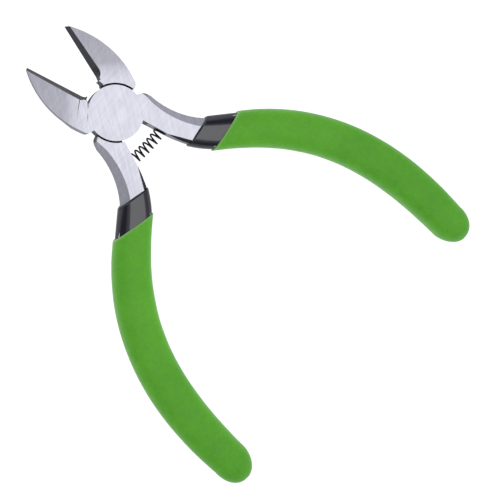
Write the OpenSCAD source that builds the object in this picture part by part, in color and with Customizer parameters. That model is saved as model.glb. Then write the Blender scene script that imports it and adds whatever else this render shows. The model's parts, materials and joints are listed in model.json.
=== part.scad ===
// Flush cut pliers with a lap joint, a return spring and double-dipped handles.
// Each half is drawn closed, centred on the joint's middle plane, with its cutting
// edge on the Y axis and the pivot axis on Z, then swung open about the pivot. The
// back half mirrors the front one, except that its lap disc is at the back. Both
// bevels face the front, so the back of the jaws cuts flush.

/* [Joint] */
// Thickness across both lap discs
joint_t = 9; // [8:0.5:11]
// Radius of each round lap disc
disc_r = 8.85; // [8.5:0.05:9]
// Gap between a disc and the round shoulder that it turns in
shoulder_gap = 0.6; // [0.3:0.05:0.7]
// Gap between the two lap faces
lap_gap = 0.08; // [0.04:0.02:0.2]
// Angle between each half and the long axis with the tool at rest
open_angle = 16.8; // [12:0.2:18]

/* [Rivet] */
// Radius of the rivet's shank
rivet_r = 2.6; // [2:0.1:3]
// Radius of its countersunk ends, ground flush
rivet_head_r = 3.5; // [3.1:0.1:4]
// Depth of each countersink
rivet_head_depth = 0.9; // [0.6:0.1:1.2]
// Running clearance round the rivet in the back half
rivet_clearance = 0.04; // [0.02:0.01:0.08]

/* [Jaws] */
// Distance from the pivot to the jaw tips
jaw_reach = 31.3; // [28:0.1:32]
// Distance from the pivot to the throat end of the cutting edge
edge_start = 10.9; // [10.6:0.1:12]
// Radius of the jaw's curved outer side
jaw_side_r = 30.4; // [29.6:0.1:31]
// Slope of the front face towards the tip, in degrees
front_slope = 11; // [8:0.5:12]
// How far the flush back face lies behind the middle plane at the throat
flush_depth = 1.3; // [0.8:0.1:2]
// Slope of the flush back face towards the tip, in degrees
flush_slope = 3.2; // [1:0.2:5]
// Slope of the shoulder between the joint's back and the flush face, in degrees
flush_shoulder = 42; // [30:1:60]
// Lean of the bevel in front of the front half's cutting edge, in degrees
front_lean = 19; // [10:0.5:20]
// Lean of the bevel in front of the back half's cutting edge, in degrees
back_lean = 13.5; // [10:0.5:20]

/* [Spring] */
// Wire diameter
wire_d = 0.58; // [0.4:0.02:0.7]
// Outside diameter of the coil
coil_d = 4; // [3.6:0.1:4.2]
// Open turns between the closed end turns
open_turns = 9; // [7:1:11]
// Radius of the drilled spring seats
seat_r = 2.35; // [2.25:0.05:2.6]
// Depth of each seat at its middle
seat_depth = 3.2; // [2.6:0.1:3.4]

/* [Handles] */
// Thickness of the steel tang inside the sleeve
tang_t = 5; // [4:0.2:5.4]
// Thickness of the inner sleeve at its rim
sleeve_t = 8.6; // [8.2:0.2:9]
// Thickness of the grip in the middle of its length
grip_t = 11.4; // [10.6:0.2:12.4]
// Wall between the tang and the outside of the inner sleeve
sleeve_wall = 0.9; // [0.7:0.1:1.1]
// Wall of the grip over the sleeve, past its rim
grip_wall = 1.5; // [1.3:0.1:1.8]

/* [Hidden] */
$fn = 96;

rivet_grip = 0.01;
half_t = joint_t / 2;
shoulder_r = disc_r + shoulder_gap;
big = 80;

// The cutting edge and the start of the ground faces
side_centre = [jaw_side_r - 10.2, 8.5];
front_break = [-6, 11];
front_break_turn = 25;
front_break_r = 40;
break_steps = 6;
shoulder_y = 9.5;
tip_depth = flush_depth + (jaw_reach - edge_start) * tan(flush_slope);

// Each cutting edge: its place across the jaws' full reach, its turn off the long axis,
// how far its own tip reaches, and its bevel's lean
front_edge = [0.1, 0.3, 30.5, front_lean];
back_edge = [0.15, -2.85, jaw_reach, back_lean];

// Radius of each bevel's round run-out, and its centre's distance from the pivot
front_runout = [1.6, 11.7];
back_runout = [2.7, 14];

// Outline of each throat, and the lug left behind the back half's throat
front_throat = [[-0.7, 10.1], [-1.2, 9.4], [-1.2, 5]];
back_throat = [[-0.1, 11.3], [-0.5, 10.6], [-0.7, 10], [-0.6, 5]];
lug = [[-2, 7], [-0.5, 7], [-0.5, 9.6], [-0.9, 10], [-2, 10]];

// The bare steel between the joint and the sleeve: a hollow outer side and a bowed inner one
outer_side_c = [38.6, -13.5];
outer_side_r = 29;
chamfer_c = [38.6, -15.6];
chamfer_w = 2;
chamfer_h = 2.2;
inner_side_c = [33, -19];
inner_side_r = 31;
inner_side_x = inner_side_c[0] - inner_side_r;
bare_end_y = -33.4;
face_slope = 3;
face_break_y = -9;
inner_chamfer_from = [2, -17.5];
inner_chamfer_to = [4.6, -26.5];

// Spring seats, drilled to aim at each other when the tool is half open
seat_point = [2, -15.5];
seat_aim = 8;

// Sides of the grip and of the sleeve's rim, closed, as curve control points
grip_outer = [[20, -35.1], [34.4, -55.1], [41.1, -83.4], [26.7, -121.3]];
grip_inner = [[4.3, -33.4], [22.8, -59.2], [25.7, -80.6], [14.4, -119]];
sleeve_rim_outer = [13.5, -26.6];
sleeve_rim_inner = [2, -25.4];
sleeve_bend_outer = [16.6, -31];
sleeve_bend_inner = [2.9, -29.3];
grip_last = 0.97;
grip_end_len = 8.6;
ring_points = 28;
grip_steps = 15;
end_steps = 6;
sleeve_last = 0.94;
sleeve_end_len = 2.4;
tang_last = 0.88;
sleeve_roundness = 3.2;
grip_roundness = 2.6;

steel = "lightsteelblue";
spring_black = "dimgray";
sleeve_black = "black";
grip_green = "limegreen";

// ---- curves and skins ----

function lerp(a, b, t) = a + (b - a) * t;
function unit(v) = v / norm(v);
function turned(p, a) = [p[0] * cos(a) - p[1] * sin(a), p[0] * sin(a) + p[1] * cos(a)];
function bezier3(c, t) =
    pow(1 - t, 3) * c[0] + 3 * t * pow(1 - t, 2) * c[1]
    + 3 * t * t * (1 - t) * c[2] + pow(t, 3) * c[3];
function bezier2(a, b, c, t) = pow(1 - t, 2) * a + 2 * t * (1 - t) * b + t * t * c;
function signed_power(v, p) = sign(v) * pow(abs(v), p);

// A rounded-oblong ring across the handle, from its inner side to its outer side
function ring(inner, outer, t, roundness = grip_roundness) =
    let (middle = (inner + outer) / 2, half = (outer - inner) / 2)
    [for (i = [0 : ring_points - 1])
        let (a = 360 * i / ring_points,
             across = signed_power(cos(a), 2 / roundness),
             up = signed_power(sin(a), 2 / roundness))
        [middle[0] + half[0] * across, middle[1] + half[1] * across, up * t / 2]];

// A closed skin over a row of rings
module skin(rings) {
    n = ring_points;
    last = len(rings) - 1;
    points = [for (r = rings, p = r) p];
    sides = [for (k = [0 : last - 1], i = [0 : n - 1])
        let (a = k * n + i, b = k * n + (i + 1) % n)
        each [[a, a + n, b + n], [a, b + n, b]]];
    start = [for (i = [0 : n - 1]) i];
    end = [for (i = [n - 1 : -1 : 0]) last * n + i];
    polyhedron(points, concat([start, end], sides), convexity = 6);
}

// Rings that round off the end of a handle past the side points a and b
function end_rings(a, b, t, length, steps = end_steps, roundness = grip_roundness) =
    let (middle = (a + b) / 2, half = (b - a) / 2, along = unit([half[1], -half[0]]))
    [for (k = [1 : steps])
        let (turn = 86 * k / steps,
             m = middle + along * length * sin(turn),
             h = half * cos(turn))
        ring(m - h, m + h, t * cos(turn), roundness)];

// How far the sleeve lies inside the grip, growing past the grip's rim
function sleeve_inset(t) = lerp(0.7, grip_wall, min(1, t * 8));
function grip_side(t, inset) =
    let (a = bezier3(grip_inner, t), b = bezier3(grip_outer, t), w = unit(b - a))
    [a + w * inset, b - w * inset];
function grip_thickness(t) = grip_t - 1.5 * pow(1 - min(1, t * 5), 2) - 0.8 * pow(t, 6);
function sleeve_thickness(t) = lerp(sleeve_t, sleeve_t - 0.4, t);

function sleeve_side(t, inset) = grip_side(t, sleeve_inset(t) + inset);
function sleeve_neck(t) =
    let (s = sleeve_side(0, 0))
    [bezier2(sleeve_rim_inner, sleeve_bend_inner, s[0], t),
     bezier2(sleeve_rim_outer, sleeve_bend_outer, s[1], t)];

function sleeve_rings(grow = 0) = [for (k = [0 : grip_steps])
    let (t = sleeve_last * k / grip_steps, s = sleeve_side(t, -grow))
    ring(s[0], s[1], sleeve_thickness(t) + 2 * grow, sleeve_roundness)];

// ---- the steel half, closed, centred on the joint's middle plane ----

module both_faces() {
    children();
    mirror([0, 0, 1]) children();
}

module slab(plan_h = joint_t) {
    translate([0, 0, -plan_h / 2]) linear_extrude(plan_h) children();
}

function edge_x(edge, y) = edge[0] + (jaw_reach - y) * tan(edge[1]);

module jaw_plan(edge, throat) {
    throat_y = throat[0][1] + 0.1;
    intersection() {
        translate(side_centre) circle(jaw_side_r, $fn = 360);
        polygon(concat([[edge_x(edge, edge[2]), edge[2]], [edge_x(edge, throat_y), throat_y]], throat,
                       [[-6, 2.5], [-8.2, 3.6], [-9.5, 4.4], [-10.3, 5.5], [-12, 20], [-6, edge[2]]]));
    }
}

module bare_handle_plan() {
    difference() {
        union() {
            intersection() {
                translate(inner_side_c) circle(inner_side_r, $fn = 360);
                polygon([[0, inner_side_c[1]], [30, inner_side_c[1]], [30, bare_end_y], [0, bare_end_y]]);
            }
            polygon([[inner_side_x, inner_side_c[1] - 0.1], [inner_side_x, -4], [7, -2.5],
                     [8.3, -3.4], [9.4, -4.3], [10, -5.6], [10.2, -7.2], [15, -12],
                     [15, inner_side_c[1] - 0.1]]);
        }
        translate(outer_side_c) circle(outer_side_r, $fn = 360);
    }
}

module tang_plan() {
    sides = [for (k = [0 : 12]) sleeve_side(tang_last * k / 12, sleeve_wall)];
    polygon(concat([[7, -28]], [for (s = sides) s[0]],
                   [for (k = [12 : -1 : 0]) sides[k][1]], [[12, -28]]));
}

// Everything ahead of the bevel: the stone's path, with its round run-out at the throat
module bevel_stone(edge, runout) {
    translate([edge[0], jaw_reach, -tip_depth])
        rotate([0, 0, edge[1]])
        rotate([-flush_slope, 0, 0])
        rotate([0, -edge[3], 0])
        translate([0, -jaw_reach, 0])
        linear_extrude(3 * joint_t, center = true)
        union() {
            translate(runout) circle(runout[0]);
            translate([0, runout[1]]) square([big, big]);
        }
}

// Everything in front of the sloping face, seen along the break, which is blended over
module front_stone() {
    blend_y = -front_break_r * tan(front_slope / 2);
    blend_z = half_t - front_break_r;
    arc = [for (k = [0 : break_steps])
        let (a = front_slope * (k + 0.5) / (break_steps + 1))
        [blend_y + front_break_r * sin(a), blend_z + front_break_r * cos(a)]];
    end = arc[break_steps];
    translate([front_break[0], front_break[1], 0])
        rotate([0, 0, front_break_turn]) rotate([90, 0, 90])
        linear_extrude(big, center = true)
        polygon(concat([[blend_y, half_t], [blend_y, joint_t], [big, joint_t],
                        [big, end[1] - (big - end[0]) * tan(front_slope)]],
                       [for (k = [break_steps : -1 : 0]) arc[k]]));
}

module jaw_grinding(edge, runout) {
    bevel_stone(edge, runout);
    front_stone();
    intersection() {
        translate([-big / 2, shoulder_y, -half_t])
            rotate([flush_shoulder, 0, 0])
            translate([0, 0, -big]) cube([big, big, big]);
        translate([-big / 2, edge_start, -flush_depth])
            rotate([-flush_slope, 0, 0])
            translate([0, -big / 2, -big]) cube([big, big, big]);
    }
}

module handle_grinding() {
    chamfer_line = inner_chamfer_to - inner_chamfer_from;
    chamfer_turn = atan2(chamfer_line[1], chamfer_line[0]) + 90;
    both_faces() {
        translate([-big / 2, face_break_y, half_t])
            rotate([face_slope, 0, 0])
            translate([0, -big, 0]) cube([big, big, joint_t]);
        translate([chamfer_c[0], chamfer_c[1], half_t - 2 * chamfer_h])
            rotate([face_slope, 0, 0])
            cylinder(h = 3 * chamfer_h, r1 = outer_side_r - chamfer_w + 0.4,
                     r2 = outer_side_r + 2 * chamfer_w + 0.4, $fn = 360);
        translate([inner_chamfer_from[0], inner_chamfer_from[1], half_t - 0.4])
            rotate([0, 0, chamfer_turn]) rotate([0, 40, 0])
            translate([-big, -big / 2, -2]) cube([big, big, 20]);
    }
}

module seat_bore() {
    translate([seat_point[0], seat_point[1], 0])
        rotate([0, 0, -seat_aim]) rotate([0, 90, 0])
        translate([0, 0, -3]) cylinder(h = seat_depth + 3, r = seat_r);
}

// The steel of one handle, from the joint to the end of the tang
module handle_steel() {
    difference() {
        slab() bare_handle_plan();
        handle_grinding();
    }
    slab(tang_t) tang_plan();
}

module rivet_hole(gap) {
    cylinder(h = 2 * joint_t, r = rivet_r + gap, center = true);
    translate([0, 0, half_t - rivet_head_depth])
        cylinder(h = 2 * rivet_head_depth, r1 = rivet_r + gap,
                 r2 = 2 * rivet_head_r - rivet_r + gap);
}

// Turns a lap feature of the front half over to the back
module lap_side(front) {
    if (front) children();
    else mirror([0, 0, 1]) children();
}

module steel_half(front, gap) {
    edge = front ? front_edge : back_edge;
    throat = front ? front_throat : back_throat;
    runout = front ? front_runout : back_runout;
    difference() {
        union() {
            difference() {
                union() {
                    difference() {
                        slab() jaw_plan(edge, throat);
                        jaw_grinding(edge, runout);
                    }
                    handle_steel();
                    if (!front) translate([0, 0, -half_t]) linear_extrude(half_t) polygon(lug);
                }
                lap_side(front)
                    translate([0, 0, lap_gap / 2 - joint_t])
                    cylinder(h = joint_t, r = shoulder_r);
            }
            lap_side(front)
                translate([0, 0, lap_gap / 2])
                cylinder(h = half_t - lap_gap / 2, r = disc_r);
        }
        lap_side(front) rivet_hole(gap);
        seat_bore();
    }
}

// ---- the covers of one handle, closed ----

module sleeve_cover() {
    neck = [for (k = [0 : 4])
        let (s = sleeve_neck(k / 5))
        ring(s[0], s[1], sleeve_t, sleeve_roundness)];
    s = sleeve_side(sleeve_last, 0);
    difference() {
        skin(concat(neck, sleeve_rings(),
                    end_rings(s[0], s[1], sleeve_thickness(sleeve_last), sleeve_end_len,
                              2, sleeve_roundness)));
        handle_steel();
    }
}

module grip_cover() {
    rings = [for (k = [0 : grip_steps])
        let (t = grip_last * k / grip_steps, s = grip_side(t, 0))
        ring(s[0], s[1], grip_thickness(t))];
    s = grip_side(grip_last, 0);
    c = sleeve_side(sleeve_last, 0);
    gap = 0.02;
    difference() {
        skin(concat(rings, end_rings(s[0], s[1], grip_thickness(grip_last), grip_end_len)));
        skin(concat([ring(sleeve_neck(0.8)[0], sleeve_neck(0.8)[1], sleeve_t + 2 * gap, sleeve_roundness)],
                    sleeve_rings(gap),
                    end_rings(c[0], c[1], sleeve_thickness(sleeve_last) + 2 * gap,
                              sleeve_end_len + gap, 2, sleeve_roundness)));
    }
}

// ---- the spring: a coil wound round a shallow bow between the two seats ----

mouth = turned(seat_point, open_angle);
bow_angle = open_angle - seat_aim;
bow_r = mouth[0] / sin(bow_angle);
bow_y = mouth[1] + bow_r * cos(bow_angle);
spring_half = bow_r * bow_angle * PI / 180 + seat_depth - wire_d / 2 - 0.1;
end_turns = 1.25;
end_pitch = wire_d * 1.08;
turns = open_turns + 2 * end_turns;
end_len = end_turns * end_pitch;
open_pitch = (2 * spring_half - 2 * end_len) / open_turns;
coil_r = (coil_d - wire_d) / 2;
wire_sides = 8;
turn_steps = 14;

function coil_place(n) =
    n < end_turns ? n * end_pitch :
    n < end_turns + open_turns ? end_len + (n - end_turns) * open_pitch :
    2 * spring_half - (turns - n) * end_pitch;
function coil_point(n) =
    let (s = (coil_place(n) - spring_half) / bow_r * 180 / PI,
         a = 360 * n + 90,
         r = bow_r - coil_r * cos(a))
    [r * sin(s), bow_y - r * cos(s), coil_r * sin(a)];

module coil() {
    steps = floor(turns * turn_steps);
    path = [for (k = [0 : steps]) coil_point(k / turn_steps)];
    rings = [for (k = [0 : steps])
        let (along = unit(path[min(k + 1, steps)] - path[max(k - 1, 0)]),
             s = (coil_place(k / turn_steps) - spring_half) / bow_r * 180 / PI,
             centre = [bow_r * sin(s), bow_y - bow_r * cos(s), 0],
             out = unit(path[k] - centre),
             side = unit(cross(along, out)),
             up = cross(side, along))
        [for (i = [0 : wire_sides - 1])
            let (a = 360 * i / wire_sides)
            path[k] + (up * cos(a) + side * sin(a)) * wire_d / 2]];
    n = wire_sides;
    points = [for (r = rings, p = r) p];
    sides = [for (k = [0 : steps - 1], i = [0 : n - 1])
        let (a = k * n + i, b = k * n + (i + 1) % n)
        each [[a, b, b + n], [a, b + n, a + n]]];
    start = [for (i = [n - 1 : -1 : 0]) i];
    end = [for (i = [0 : n - 1]) steps * n + i];
    polyhedron(points, concat([start, end], sides), convexity = 20);
}

// ---- placing the halves: the joint's back face lies on z = 0 ----

module front_place() {
    translate([0, 0, half_t]) rotate([0, 0, open_angle]) children();
}

module back_place() {
    translate([0, 0, half_t]) rotate([0, 0, -open_angle]) mirror([1, 0, 0]) children();
}

module front_half() {
    color(steel) front_place() steel_half(true, rivet_grip);
}

module back_half() {
    color(steel) back_place() steel_half(false, rivet_clearance);
}

module pivot_rivet() {
    color(steel) translate([0, 0, half_t]) {
        cylinder(h = joint_t, r = rivet_r, center = true);
        both_faces()
            translate([0, 0, half_t - rivet_head_depth])
            cylinder(h = rivet_head_depth, r1 = rivet_r, r2 = rivet_head_r);
    }
}

module return_spring() {
    color(spring_black) translate([0, 0, half_t]) coil();
}

module front_sleeve() {
    color(sleeve_black) front_place() sleeve_cover();
}

module back_sleeve() {
    color(sleeve_black) back_place() sleeve_cover();
}

module front_grip() {
    color(grip_green) front_place() grip_cover();
}

module back_grip() {
    color(grip_green) back_place() grip_cover();
}

front_half();
back_half();
pivot_rivet();
return_spring();
front_sleeve();
back_sleeve();
front_grip();
back_grip();
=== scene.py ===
import json
import math

import bmesh
import bpy
import numpy as np
from mathutils import Matrix, Vector, noise


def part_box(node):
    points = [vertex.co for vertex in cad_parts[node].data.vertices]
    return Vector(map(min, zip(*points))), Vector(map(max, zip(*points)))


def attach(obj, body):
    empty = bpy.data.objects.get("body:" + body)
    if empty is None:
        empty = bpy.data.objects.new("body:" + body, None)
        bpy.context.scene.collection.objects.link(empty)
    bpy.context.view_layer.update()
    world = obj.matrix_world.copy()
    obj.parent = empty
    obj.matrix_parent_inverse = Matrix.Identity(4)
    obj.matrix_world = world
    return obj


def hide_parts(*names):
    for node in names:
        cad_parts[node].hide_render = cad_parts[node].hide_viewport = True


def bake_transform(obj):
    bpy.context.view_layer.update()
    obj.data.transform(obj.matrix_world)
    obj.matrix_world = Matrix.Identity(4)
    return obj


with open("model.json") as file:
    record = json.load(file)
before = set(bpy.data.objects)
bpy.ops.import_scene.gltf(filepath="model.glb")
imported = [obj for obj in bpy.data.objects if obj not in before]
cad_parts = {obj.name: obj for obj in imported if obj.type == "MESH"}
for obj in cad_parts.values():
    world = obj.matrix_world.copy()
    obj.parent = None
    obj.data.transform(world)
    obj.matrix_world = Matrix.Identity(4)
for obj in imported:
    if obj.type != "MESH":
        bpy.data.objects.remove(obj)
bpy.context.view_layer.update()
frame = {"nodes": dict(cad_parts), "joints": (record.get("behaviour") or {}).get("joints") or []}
nodes = frame["nodes"]

MM = 0.001
PIVOT = Vector(frame["joints"][0]["pos_m"])
OPEN_ANGLE = math.radians(16.8)
FRONT, BACK = "front", "back"


# ---- camera ----

def make_camera():
    """Looks at the front of the tool, a little from its left, with the jaws up and to the left."""
    turn = (Matrix.Rotation(math.radians(2.43), 3, "X")
            @ Matrix.Rotation(math.radians(13.96), 3, "Y")
            @ Matrix.Rotation(math.radians(45.79), 3, "Z"))
    data = bpy.data.cameras.new("camera")
    data.sensor_width = 36
    data.lens = 90.6
    data.clip_start = 0.01
    camera = bpy.data.objects.new("camera", data)
    camera.matrix_world = Matrix.Translation(
        PIVOT + turn.transposed() @ Vector((43.2, -43.3, 400)) * MM) @ turn.transposed().to_4x4()
    bpy.context.collection.objects.link(camera)
    bpy.context.scene.camera = camera


make_camera()


# ---- the handle's curves, drawn closed, in mm, as in the CAD part ----

GRIP_OUTER = [(20, -35.1), (34.4, -55.1), (41.1, -83.4), (26.7, -121.3)]
GRIP_INNER = [(4.3, -33.4), (22.8, -59.2), (25.7, -80.6), (14.4, -119)]
RIM_OUTER = (13.5, -26.6)
RIM_INNER = (2, -25.4)
BEND_OUTER = (16.6, -31)
BEND_INNER = (2.9, -29.3)
GRIP_THICK = 11.4
SLEEVE_THICK = 8.6
GRIP_WALL = 1.5
RIM_WALL = 0.7
GRIP_LAST = 0.97
GRIP_END = 8.6
GRIP_ROUND = 2.6
SLEEVE_LAST = 0.94

# Each bevel's turn off the long axis and its lean, and the slope of the flush back, in degrees
FRONT_EDGE = (0.3, 19)
BACK_EDGE = (-2.85, 13.5)
FLUSH_SLOPE = 3.2


def bezier(points, t):
    """A point of the Bezier curve with these control points."""
    p = [np.array(q, float) for q in points]
    while len(p) > 1:
        p = [a + (b - a) * t for a, b in zip(p, p[1:])]
    return p[0]


def unit(v):
    return v / np.linalg.norm(v)


def grip_side(t, inset=0.0):
    a, b = bezier(GRIP_INNER, t), bezier(GRIP_OUTER, t)
    w = unit(b - a)
    return a + w * inset, b - w * inset


def grip_thickness(t):
    return GRIP_THICK - 1.5 * (1 - min(1, t * 5)) ** 2 - 0.8 * t ** 6


def sleeve_side(t):
    return grip_side(t, RIM_WALL + (GRIP_WALL - RIM_WALL) * min(1, t * 8))


def neck_side(t):
    """The sleeve's sides between its rim, at 0, and the grip's rim, at 1."""
    a, b = sleeve_side(0)
    return bezier([RIM_INNER, BEND_INNER, a], t), bezier([RIM_OUTER, BEND_OUTER, b], t)


def place(points, side):
    """Closed-frame points in mm to the row frame in metres, on the front or the back half."""
    p = np.array(points, float)
    angle = OPEN_ANGLE
    if side == BACK:
        p = p * [-1, 1, 1]
        angle = -OPEN_ANGLE
    c, s = math.cos(angle), math.sin(angle)
    opened = np.stack([p[:, 0] * c - p[:, 1] * s, p[:, 0] * s + p[:, 1] * c, p[:, 2]], 1)
    return opened * MM + np.array(PIVOT)


def tube_mesh(name, rings):
    """A closed skin over a row of equal rings, with its two ends filled."""
    n = len(rings[0])
    mesh = bpy.data.meshes.new(name)
    faces = [[k * n + i, k * n + (i + 1) % n, (k + 1) * n + (i + 1) % n, (k + 1) * n + i]
             for k in range(len(rings) - 1) for i in range(n)]
    faces += [list(range(n))[::-1], [(len(rings) - 1) * n + i for i in range(n)]]
    points = np.concatenate(rings)
    mesh.from_pydata([tuple(p) for p in points], [], faces)
    bm = bmesh.new()
    bm.from_mesh(mesh)
    bmesh.ops.recalc_face_normals(bm, faces=bm.faces)
    bm.to_mesh(mesh)
    bm.free()
    for p in mesh.polygons:
        p.use_smooth = True
    along = mesh.attributes.new("along", "FLOAT", "POINT")
    share = np.repeat(np.arange(len(rings)) / (len(rings) - 1), n)
    along.data.foreach_set("value", share.astype(np.float32))
    piece = bpy.data.objects.new(name, mesh)
    bpy.context.collection.objects.link(piece)
    return piece


# ---- ring sections: u runs from the inner side, -1, to the outer side, 1; v through the thickness ----

def oblong_section(count, roundness):
    a = np.arange(count) * 2 * math.pi / count
    c, s = np.cos(a), np.sin(a)
    power = 2 / roundness
    return np.stack([np.sign(c) * np.abs(c) ** power, np.sign(s) * np.abs(s) ** power], 1)


def forged_section(count, inner, outer, soften):
    """The chamfered bar under a thin sleeve, with its corners softened. inner and outer are
    (chamfer across, height where the side begins)."""
    corners = np.array([(1, outer[1]), (1 - outer[0], 1), (-1 + inner[0], 1), (-1, inner[1]),
                        (-1, -inner[1]), (-1 + inner[0], -1), (1 - outer[0], -1), (1, -outer[1])])
    nxt = np.roll(corners, -1, 0)
    length = np.linalg.norm(nxt - corners, axis=1)
    reach = np.concatenate([[0], np.cumsum(length)])
    spots = (np.arange(count) + 0.5) / count * reach[-1]
    leg = np.searchsorted(reach, spots, side="right") - 1
    t = (spots - reach[leg]) / length[leg]
    ring = corners[leg] + (nxt - corners)[leg] * t[:, None]
    for _ in range(soften):
        ring = (np.roll(ring, 1, 0) + 2 * ring + np.roll(ring, -1, 0)) / 4
    return ring / np.abs(ring).max(0)


def ring(inner, outer, thickness, section, shrink=0.0):
    """The section laid across the handle, drawn in by shrink mm all round."""
    middle, half = (inner + outer) / 2, (outer - inner) / 2
    w = np.linalg.norm(half)
    u = section[:, :1] * (w - shrink) / w
    flat = middle + half * u
    return np.concatenate([flat, section[:, 1:] * (thickness / 2 - shrink)], 1)


def along_axis(sides):
    """Unit vector along the handle, towards its end, at the section between these side points."""
    half = (sides[1] - sides[0]) / 2
    return unit(np.array([half[1], -half[0]]))


def rim(side_at, length, thickness, section, radius, wall, depth):
    """Rings for a rounded rim that follows the handle, from inside the bore, over the lip, to the
    outside. side_at(t) gives the sides at a share t of a stretch length mm long."""
    rings = [ring(*side_at(depth / length), thickness, section, wall),
             ring(*side_at(radius * 0.8 / length), thickness, section, wall)]
    for k in range(5):
        a = math.pi / 2 * k / 4
        rings.append(ring(*side_at(radius * (1 - math.cos(a)) / length), thickness, section,
                          radius * (1 - math.sin(a))))
    return rings


def handle_cover(name, side, body, node, rings):
    piece = tube_mesh(name, [place(r, side) for r in rings])
    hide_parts(node)
    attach(piece, body)
    return piece


# ---- grips: thick dipped foam, with a rounded rim and end ----

def grip_rings():
    section = oblong_section(72, GRIP_ROUND)
    rings = rim(grip_side, 100, grip_thickness(0), section, 0.5, 1.3, 3)
    for t in np.linspace(0, GRIP_LAST, 90)[1:]:
        rings.append(ring(*grip_side(t), grip_thickness(t), section))
    a, b = grip_side(GRIP_LAST)
    end = along_axis((a, b))
    for k in range(1, 19):
        turn = math.radians(88.5 * k / 18)
        c = math.cos(turn)
        middle = (a + b) / 2 + end * GRIP_END * math.sin(turn)
        h = (b - a) / 2 * c
        rings.append(ring(middle - h, middle + h, grip_thickness(GRIP_LAST) * c, section))
    return rings


def uneven(rings, strength=0.05, scale=0.16):
    """Dipped rubber is never quite even: a slow waviness, in mm."""
    out = []
    for r in rings:
        centre = r.mean(0)
        moved = []
        for p in r:
            d = p - centre
            lift = noise.noise(Vector(p) * scale) * strength
            moved.append(p + unit(d) * lift if np.linalg.norm(d) > 1 else p)
        out.append(np.array(moved))
    return out


# ---- sleeves: a thin glossy skin that follows the chamfered bar ----

def sleeve_rings():
    section = forged_section(120, (0.2, 0.66), (0.52, 0.5), 26)
    section[:, 1] *= 1 - 0.16 * section[:, 0] ** 2
    rings = rim(neck_side, 8, SLEEVE_THICK, section, 0.5, 0.75, 3)
    for t in np.linspace(0, 1, 26)[1:]:
        rings.append(ring(*neck_side(t), SLEEVE_THICK, section))
    for t in np.linspace(0, SLEEVE_LAST, 60)[1:]:
        rings.append(ring(*sleeve_side(t), SLEEVE_THICK - 0.4 * t, section))
    a, b = sleeve_side(SLEEVE_LAST)
    end = np.append(along_axis((a, b)), 0)
    rings.append(ring(a, b, SLEEVE_THICK - 0.38, section, 0.5) + end * 1.2)
    return rings


# ---- the coil spring, wound round a shallow bow between its two seats ----

SEAT = (2.0, -15.5, 0)
SEAT_AIM = math.radians(8)
SEAT_DEPTH = 3.2
WIRE = 0.58
COIL = 4.0
OPEN_TURNS = 9
END_TURNS = 1.25


def seat_mouth(side):
    return Vector(place([SEAT], side)[0])


def spring_piece():
    mouth = (np.array(seat_mouth(FRONT)) - np.array(PIVOT)) / MM
    bow = OPEN_ANGLE - SEAT_AIM
    bow_r = mouth[0] / math.sin(bow)
    bow_y = mouth[1] + bow_r * math.cos(bow)
    half = bow_r * bow + SEAT_DEPTH - WIRE / 2 - 0.1
    pitch = WIRE * 1.08
    end_len = END_TURNS * pitch
    turns = OPEN_TURNS + 2 * END_TURNS
    open_pitch = (2 * half - 2 * end_len) / OPEN_TURNS
    coil_r = (COIL - WIRE) / 2

    def spot(n):
        if n < END_TURNS:
            x = n * pitch
        elif n < END_TURNS + OPEN_TURNS:
            x = end_len + (n - END_TURNS) * open_pitch
        else:
            x = 2 * half - (turns - n) * pitch
        s = (x - half) / bow_r
        a = 2 * math.pi * n + math.pi / 2
        r = bow_r - coil_r * math.cos(a)
        centre = np.array([bow_r * math.sin(s), bow_y - bow_r * math.cos(s), 0])
        return np.array([r * math.sin(s), bow_y - r * math.cos(s), coil_r * math.sin(a)]), centre

    steps = int(turns * 30)
    spots = [spot(turns * k / steps) for k in range(steps + 1)]
    rings = []
    for k, (p, centre) in enumerate(spots):
        along = unit(spots[min(k + 1, steps)][0] - spots[max(k - 1, 0)][0])
        side = unit(np.cross(along, unit(p - centre)))
        up = np.cross(side, along)
        r = WIRE / 2 * (0.6 if k in (0, steps) else 1)
        rings.append(np.array([p + (up * math.cos(a) + side * math.sin(a)) * r
                               for a in np.arange(12) * math.pi / 6]) * MM + np.array(PIVOT))
    piece = tube_mesh("coil_spring", rings)
    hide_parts("return_spring")
    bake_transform(piece)
    return piece


# ---- the rivet, its heads ground flush with the laps ----

def rivet_piece():
    low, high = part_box("pivot_rivet")
    shank = 2.6 * MM
    head = 3.78 * MM
    depth = 0.9 * MM
    proud = 0.012 * MM
    brow = head - 0.06 * MM
    land = 0.05 * MM
    profile = [(brow, low.z - proud), (head, low.z + land), (shank, low.z + depth),
               (shank, high.z - depth), (head, high.z - land), (brow, high.z + proud)]
    rings = [np.array([(PIVOT.x + r * math.cos(a), PIVOT.y + r * math.sin(a), z)
                       for a in np.arange(96) * math.pi / 48]) for r, z in profile]
    piece = tube_mesh("flush_rivet", rings)
    for p in piece.data.polygons:
        p.use_smooth = False
    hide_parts("pivot_rivet")
    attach(piece, "front_lever")
    return piece


# ---- materials ----

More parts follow.
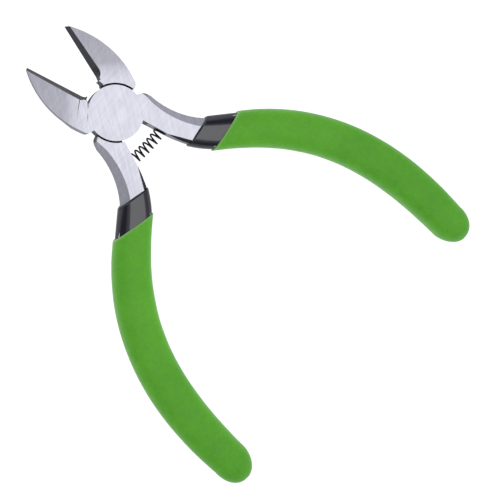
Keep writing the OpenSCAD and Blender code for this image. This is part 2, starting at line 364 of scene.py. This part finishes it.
class Shader:
    """Builds one material's nodes; a method adds a node and gives its output."""

    def __init__(self, name):
        self.material = bpy.data.materials.new(name)
        self.material.use_nodes = True
        self.tree = self.material.node_tree
        self.bsdf = self.tree.nodes["Principled BSDF"]
        self.coords = self.tree.nodes.new("ShaderNodeTexCoord")

    def set(self, **values):
        for key, value in values.items():
            self.bsdf.inputs[key.replace("_", " ")].default_value = value

    def link(self, source, target):
        self.tree.links.new(source, target)

    def mapped(self, scale, turn=0.0):
        node = self.tree.nodes.new("ShaderNodeMapping")
        node.vector_type = "TEXTURE"
        node.inputs["Rotation"].default_value = (0, 0, turn)
        node.inputs["Scale"].default_value = [1 / s for s in scale]
        self.link(self.coords.outputs["Object"], node.inputs["Vector"])
        return node.outputs["Vector"]

    def noise(self, vector, scale=1.0, detail=2.0, roughness=0.5):
        node = self.tree.nodes.new("ShaderNodeTexNoise")
        node.inputs["Scale"].default_value = scale
        node.inputs["Detail"].default_value = detail
        node.inputs["Roughness"].default_value = roughness
        self.link(vector, node.inputs["Vector"])
        return node.outputs["Fac"]

    def remap(self, value, low, high, to_low, to_high):
        node = self.tree.nodes.new("ShaderNodeMapRange")
        node.inputs["From Min"].default_value = low
        node.inputs["From Max"].default_value = high
        node.inputs["To Min"].default_value = to_low
        node.inputs["To Max"].default_value = to_high
        self.link(value, node.inputs["Value"])
        return node.outputs["Result"]

    def math(self, kind, a, b):
        node = self.tree.nodes.new("ShaderNodeMath")
        node.operation = kind
        for socket, value in zip(node.inputs, (a, b)):
            if isinstance(value, (int, float)):
                socket.default_value = value
            else:
                self.link(value, socket)
        return node.outputs["Value"]

    def along(self):
        """How far along the handle, from 0 at the first ring to 1 at the last."""
        node = self.tree.nodes.new("ShaderNodeAttribute")
        node.attribute_name = "along"
        return node.outputs["Fac"]

    def mix(self, factor, a, b):
        node = self.tree.nodes.new("ShaderNodeMix")
        node.data_type = "RGBA"
        self.link(factor, node.inputs["Factor"])
        for name, value in (("A", a), ("B", b)):
            socket = [s for s in node.inputs if s.name == name and s.type == "RGBA"][0]
            if isinstance(value, tuple):
                socket.default_value = (*value, 1)
            else:
                self.link(value, socket)
        return [s for s in node.outputs if s.type == "RGBA"][0]

    def facing(self, direction, low, high):
        """1 where the surface faces this way on the piece itself, 0 elsewhere."""
        node = self.tree.nodes.new("ShaderNodeVectorMath")
        node.operation = "DOT_PRODUCT"
        node.inputs[1].default_value = direction
        self.link(self.coords.outputs["Normal"], node.inputs[0])
        return self.remap(node.outputs["Value"], low, high, 0, 1)

    def bump(self, height, distance, strength=1.0, below=None):
        node = self.tree.nodes.new("ShaderNodeBump")
        node.inputs["Strength"].default_value = strength
        node.inputs["Distance"].default_value = distance
        self.link(height, node.inputs["Height"])
        if below is not None:
            self.link(below, node.inputs["Normal"])
        return node.outputs["Normal"]


def turned(direction, side):
    """A closed-frame direction on the front or back half, at rest."""
    p = place([(0, 0, 0), direction], side)
    return Vector(p[1] - p[0]).normalized()


def lean(turn, slope, tilt):
    """The normal of a face that starts facing +X: tilted to the front, sloped to the tip, turned."""
    v = Vector((1, 0, 0))
    v.rotate(Matrix.Rotation(math.radians(-tilt), 3, "Y"))
    v.rotate(Matrix.Rotation(math.radians(slope), 3, "X"))
    v.rotate(Matrix.Rotation(math.radians(turn), 3, "Z"))
    return v


def steel_material(name, side, edge):
    """Brushed steel, with a painted dark reflection on the bevel of this edge and on the inner chamfer,
    and painted shade in the lap and throat. edge is (turn, lean).
    """
    s = Shader(name)
    s.set(Metallic=1.0, Roughness=0.36)
    turn = math.radians(-44)
    fine = s.noise(s.mapped((3400, 330, 500), turn), detail=3, roughness=0.6)
    streak = s.noise(s.mapped((1500, 110, 300), turn + 0.22), detail=2)
    cross = s.noise(s.mapped((1300, 90, 300), turn - 0.75), detail=2)
    cloud = s.noise(s.mapped((260, 260, 260)), detail=3)
    tone = s.math("ADD", s.remap(fine, 0.3, 0.7, -0.24, 0.24),
                  s.remap(streak, 0.35, 0.65, -0.14, 0.14))
    tone = s.math("ADD", tone, s.remap(cross, 0.35, 0.65, -0.10, 0.10))
    tone = s.math("ADD", tone, s.remap(cloud, 0.3, 0.7, 0.42, 0.58))
    ground = s.mix(tone, (0.43, 0.43, 0.485), (0.63, 0.63, 0.695))
    # Painted dark reflection: the bevel and the inner chamfer are darkened by which way they face.
    bevel = s.facing(turned(lean(edge[0], -FLUSH_SLOPE, edge[1]), side), 0.975, 0.99)
    chamfer = s.facing(turned(lean(16, 0, -40) * -1, side), 0.93, 0.975)
    ground_with_painted_dark_faces = s.mix(s.math("MAXIMUM", bevel, chamfer), ground, (0.05, 0.05, 0.058))
    # Painted shade: the steel turns near-black in the lap's gap, inside the lap and at the throat.
    s.link(s.mix(painted_recess_shade(s, side), ground_with_painted_dark_faces, (0.02, 0.02, 0.024)), s.bsdf.inputs["Base Color"])
    rough = s.math("ADD", s.remap(fine, 0.3, 0.7, 0.30, 0.42), s.remap(cloud, 0.3, 0.7, -0.03, 0.03))
    s.link(rough, s.bsdf.inputs["Roughness"])
    n = s.bump(fine, 0.004 * MM)
    s.link(s.bump(streak, 0.010 * MM, below=n), s.bsdf.inputs["Normal"])
    return s.material


def off_centre(s, centre, scale):
    """Distance from a point, with the axes scaled; a scale of 0 leaves an axis out."""
    node = s.tree.nodes.new("ShaderNodeVectorMath")
    node.operation = "SUBTRACT"
    node.inputs[1].default_value = centre
    s.link(s.coords.outputs["Object"], node.inputs[0])
    across = s.tree.nodes.new("ShaderNodeVectorMath")
    across.operation = "MULTIPLY"
    across.inputs[1].default_value = scale
    s.link(node.outputs["Vector"], across.inputs[0])
    reach = s.tree.nodes.new("ShaderNodeVectorMath")
    reach.operation = "LENGTH"
    s.link(across.outputs["Vector"], reach.inputs[0])
    return reach.outputs["Value"]


def painted_recess_shade(s, side):
    """Painted shade: 1 on the steel in the recesses where shade falls, inside the lap, its gap, and the
    throat.
    """
    reach = off_centre(s, PIVOT, (1, 1, 0))
    up = s.tree.nodes.new("ShaderNodeSeparateXYZ")
    s.link(s.coords.outputs["Normal"], up.inputs[0])
    sideways = s.remap(s.math("ABSOLUTE", up.outputs["Z"], 0), 0.85, 0.55, 0, 1)
    gap = s.math("MULTIPLY", s.remap(reach, 11.0 * MM, 10.8 * MM, 0, 1), sideways)
    throat = place([(-1.4, 12.4, 1)], side)[0]
    near = s.remap(off_centre(s, throat, (1, 1, 0.3)), 3.4 * MM, 3.1 * MM, 0, 1)
    run_out = s.math("MULTIPLY", near, sideways)
    height = s.tree.nodes.new("ShaderNodeSeparateXYZ")
    s.link(s.coords.outputs["Object"], height.inputs[0])
    low = s.remap(height.outputs["Z"], 4.75 * MM, 4.6 * MM, 0, 1)
    high = s.remap(height.outputs["Z"], 0.2 * MM, 0.35 * MM, 0, 1)
    inside = s.math("MULTIPLY", s.remap(reach, 11.2 * MM, 10.9 * MM, 0, 1),
                    s.math("MULTIPLY", low, high))
    return s.math("MAXIMUM", s.math("MAXIMUM", gap, run_out), inside)


def sleeve_material():
    s = Shader("glossy_black_vinyl")
    s.set(Roughness=0.2, IOR=1.7, Coat_Weight=0.3, Coat_Roughness=0.1)
    cloud = s.noise(s.mapped((300, 300, 300)), detail=2)
    fine = s.noise(s.mapped((2600, 2600, 2600)), detail=3)
    s.link(s.mix(cloud, (0.003, 0.003, 0.010), (0.007, 0.007, 0.022)), s.bsdf.inputs["Base Color"])
    s.link(s.remap(cloud, 0.3, 0.7, 0.12, 0.2), s.bsdf.inputs["Roughness"])
    s.link(s.bump(fine, 0.004 * MM), s.bsdf.inputs["Normal"])
    return s.material


def grip_material():
    s = Shader("green_dipped_foam")
    s.set(Roughness=0.62, Sheen_Weight=0.35, Sheen_Roughness=0.5, Sheen_Tint=(0.85, 1.0, 0.8, 1))
    grain = s.noise(s.mapped((2300, 2300, 2300)), detail=4, roughness=0.65)
    mottle = s.noise(s.mapped((420, 420, 420)), detail=3, roughness=0.6)
    cloud = s.noise(s.mapped((60, 60, 60)), detail=2)
    tone = s.math("ADD", s.remap(grain, 0.3, 0.7, 0.30, 0.70), s.remap(mottle, 0.3, 0.7, -0.15, 0.15))
    tone = s.math("ADD", tone, s.remap(cloud, 0.3, 0.7, -0.15, 0.15))
    tone = s.math("SUBTRACT", tone, s.remap(s.along(), 0.2, 1.0, -0.12, 0.2))
    body = s.mix(tone, (0.085, 0.45, 0.008), (0.18, 0.68, 0.028))
    # Painted highlight: a lighter green band along the grip's rim lip.
    lip = s.remap(s.along(), 0.045, 0.064, 1, 0)
    s.link(s.mix(lip, body, (0.34, 0.72, 0.2)), s.bsdf.inputs["Base Color"])
    s.link(s.remap(mottle, 0.3, 0.7, 0.55, 0.7), s.bsdf.inputs["Roughness"])
    n = s.bump(grain, 0.05 * MM, 0.7)
    s.link(s.bump(mottle, 0.06 * MM, 0.6, below=n), s.bsdf.inputs["Normal"])
    return s.material


def spring_material():
    s = Shader("black_spring_wire")
    s.set(Metallic=0.7, Roughness=0.38)
    cloud = s.noise(s.mapped((1500, 1500, 1500)), detail=3)
    s.link(s.mix(cloud, (0.008, 0.008, 0.01), (0.03, 0.03, 0.034)), s.bsdf.inputs["Base Color"])
    s.link(s.remap(cloud, 0.3, 0.7, 0.3, 0.5), s.bsdf.inputs["Roughness"])
    return s.material


def finish_piece(piece, material):
    piece.data.materials.clear()
    piece.data.materials.append(material)


front_steel = steel_material("brushed_steel_front", FRONT, FRONT_EDGE)
back_steel = steel_material("brushed_steel_back", BACK, BACK_EDGE)
sleeve_black = sleeve_material()
grip_green = grip_material()

for node_name, material in (("front_half", front_steel), ("back_half", back_steel)):
    steel = nodes[node_name]
    finish_piece(steel, material)
    weld = steel.modifiers.new("weld", "WELD")
    weld.merge_threshold = 0.0005 * MM
    bevel = steel.modifiers.new("worn_edges", "BEVEL")
    bevel.width = 0.08 * MM
    bevel.segments = 2
    bevel.limit_method = "ANGLE"
    bevel.angle_limit = math.radians(30)
    soften = steel.modifiers.new("even_faces", "WEIGHTED_NORMAL")
    soften.weight = 100

for side, body in ((FRONT, "front_lever"), (BACK, "back_lever")):
    sleeve = handle_cover(side + "_black_sleeve", side, body, side + "_sleeve", sleeve_rings())
    finish_piece(sleeve, sleeve_black)
    grip = handle_cover(side + "_green_grip", side, body, side + "_grip", uneven(grip_rings()))
    finish_piece(grip, grip_green)

finish_piece(spring_piece(), spring_material())
finish_piece(rivet_piece(), front_steel)


# ---- studio: a bright sweep, soft overhead light, dimmer sides ----

def make_floor():
    mesh = bpy.data.meshes.new("floor")
    r = 5.0
    z = -0.75
    mesh.from_pydata([(-r, -r, z), (r, -r, z), (r, r, z), (-r, r, z)], [], [[0, 1, 2, 3]])
    floor = bpy.data.objects.new("floor", mesh)
    bpy.context.collection.objects.link(floor)
    s = Shader("white_sweep")
    s.set(Base_Color=(0.9, 0.9, 0.9, 1), Roughness=0.9)
    s.set(Emission_Color=(1, 1, 1, 1), Emission_Strength=0.6)
    finish_piece(floor, s.material)
    floor.visible_glossy = False


def make_sun(name, toward, spread, strength):
    data = bpy.data.lights.new(name, "SUN")
    data.angle = math.radians(spread)
    data.energy = strength
    lamp = bpy.data.objects.new(name, data)
    lamp.rotation_euler = Vector(toward).to_track_quat("Z", "Y").to_euler()
    bpy.context.collection.objects.link(lamp)


def make_world():
    """A sky that is bright overhead and at the horizon, and plain white to the camera."""
    world = bpy.data.worlds.new("studio")
    bpy.context.scene.world = world
    world.use_nodes = True
    tree = world.node_tree
    add = tree.nodes.new
    coords = add("ShaderNodeTexCoord")
    split = add("ShaderNodeSeparateXYZ")
    ramp = add("ShaderNodeValToRGB")
    span = add("ShaderNodeMapRange")
    span.inputs["From Min"].default_value = -1
    tree.links.new(coords.outputs["Generated"], split.inputs[0])
    tree.links.new(split.outputs["Z"], span.inputs["Value"])
    tree.links.new(span.outputs["Result"], ramp.inputs["Fac"])
    levels = [(0.0, 0.4), (0.36, 0.66), (0.54, 0.64), (0.64, 0.17), (0.82, 0.16), (0.93, 0.5),
              (1.0, 0.62)]
    ramp.color_ramp.elements[0].position = 0
    ramp.color_ramp.elements[1].position = 1
    for position, level in levels[1:-1]:
        ramp.color_ramp.elements.new(position)
    for element, (position, level) in zip(ramp.color_ramp.elements, levels):
        element.position = position
        element.color = (level, level, level * 1.06, 1)
    background = tree.nodes["Background"]
    tree.links.new(ramp.outputs["Color"], background.inputs["Color"])
    background.inputs["Strength"].default_value = 1.0
    plain = add("ShaderNodeBackground")
    plain.inputs["Color"].default_value = (1, 1, 1, 1)
    path = add("ShaderNodeLightPath")
    mix = add("ShaderNodeMixShader")
    tree.links.new(path.outputs["Is Camera Ray"], mix.inputs[0])
    tree.links.new(background.outputs[0], mix.inputs[1])
    tree.links.new(plain.outputs[0], mix.inputs[2])
    tree.links.new(mix.outputs[0], tree.nodes["World Output"].inputs["Surface"])


make_floor()
make_sun("key_light", (0.16, -0.12, 0.98), 50, 0.62)
make_sun("side_light", (0.62, -0.62, 0.48), 60, 0.22)
make_world()
bpy.context.scene.view_settings.view_transform = "Standard"
